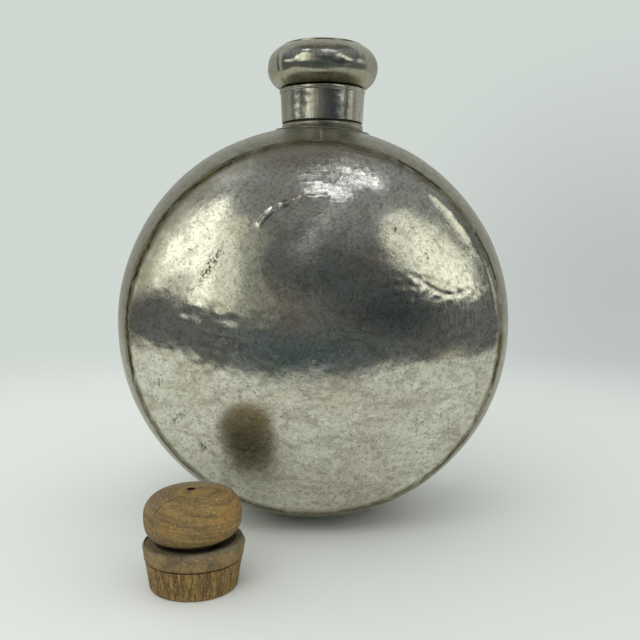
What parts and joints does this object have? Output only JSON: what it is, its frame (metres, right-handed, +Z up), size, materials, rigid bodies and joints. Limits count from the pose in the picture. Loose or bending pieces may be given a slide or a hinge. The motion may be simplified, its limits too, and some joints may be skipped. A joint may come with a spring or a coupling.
{
  "type": "pilgrim flask",
  "caption": "Large round metal flask standing on its rim, with domed faces, a short collared neck, a bulbous mouth and a turned wooden stopper beside it.",
  "frame": {"origin": "middle of the flask's flat foot, on the surface it stands on", "axes": "+Z up towards the mouth, the front face looks along -Y, and the stopper stands in front of it on the left, towards -X"},
  "size_m": [0.32, 0.3164, 0.382],
  "materials": {
    "tinned_sheet": "tinned brass sheet, hand beaten, worn and scratched, with a dull shine",
    "tinned_neck": "tinned brass, burnished brighter than the body, with dents",
    "braze": "brass braze, dull olive brown, lumpy",
    "stopper_wood": "turned hardwood, worn and dry, brown, with a ring crack"
  },
  "bodies": {
    "flask": {"front_shell": "tinned_sheet", "back_shell": "tinned_sheet", "side_band": "tinned_sheet", "front_seam_braze": "braze", "back_seam_braze": "braze", "band_joint_braze_front": "braze", "band_joint_braze_back": "braze", "neck_saddle": "tinned_neck", "neck_root_ring": "tinned_neck", "neck_tube": "tinned_neck", "neck_collar": "tinned_neck", "neck_bead": "tinned_neck", "mouth_bulb": "tinned_neck", "mouth_ring": "tinned_neck"},
    "stopper": {"stopper": "stopper_wood"}
  },
  "joints": [
    {"name": "stopper_lift", "type": "slide", "parent": "flask", "child": "stopper", "axis": [0, 0, 1], "range_m": [0, 0.45]}
  ]
}
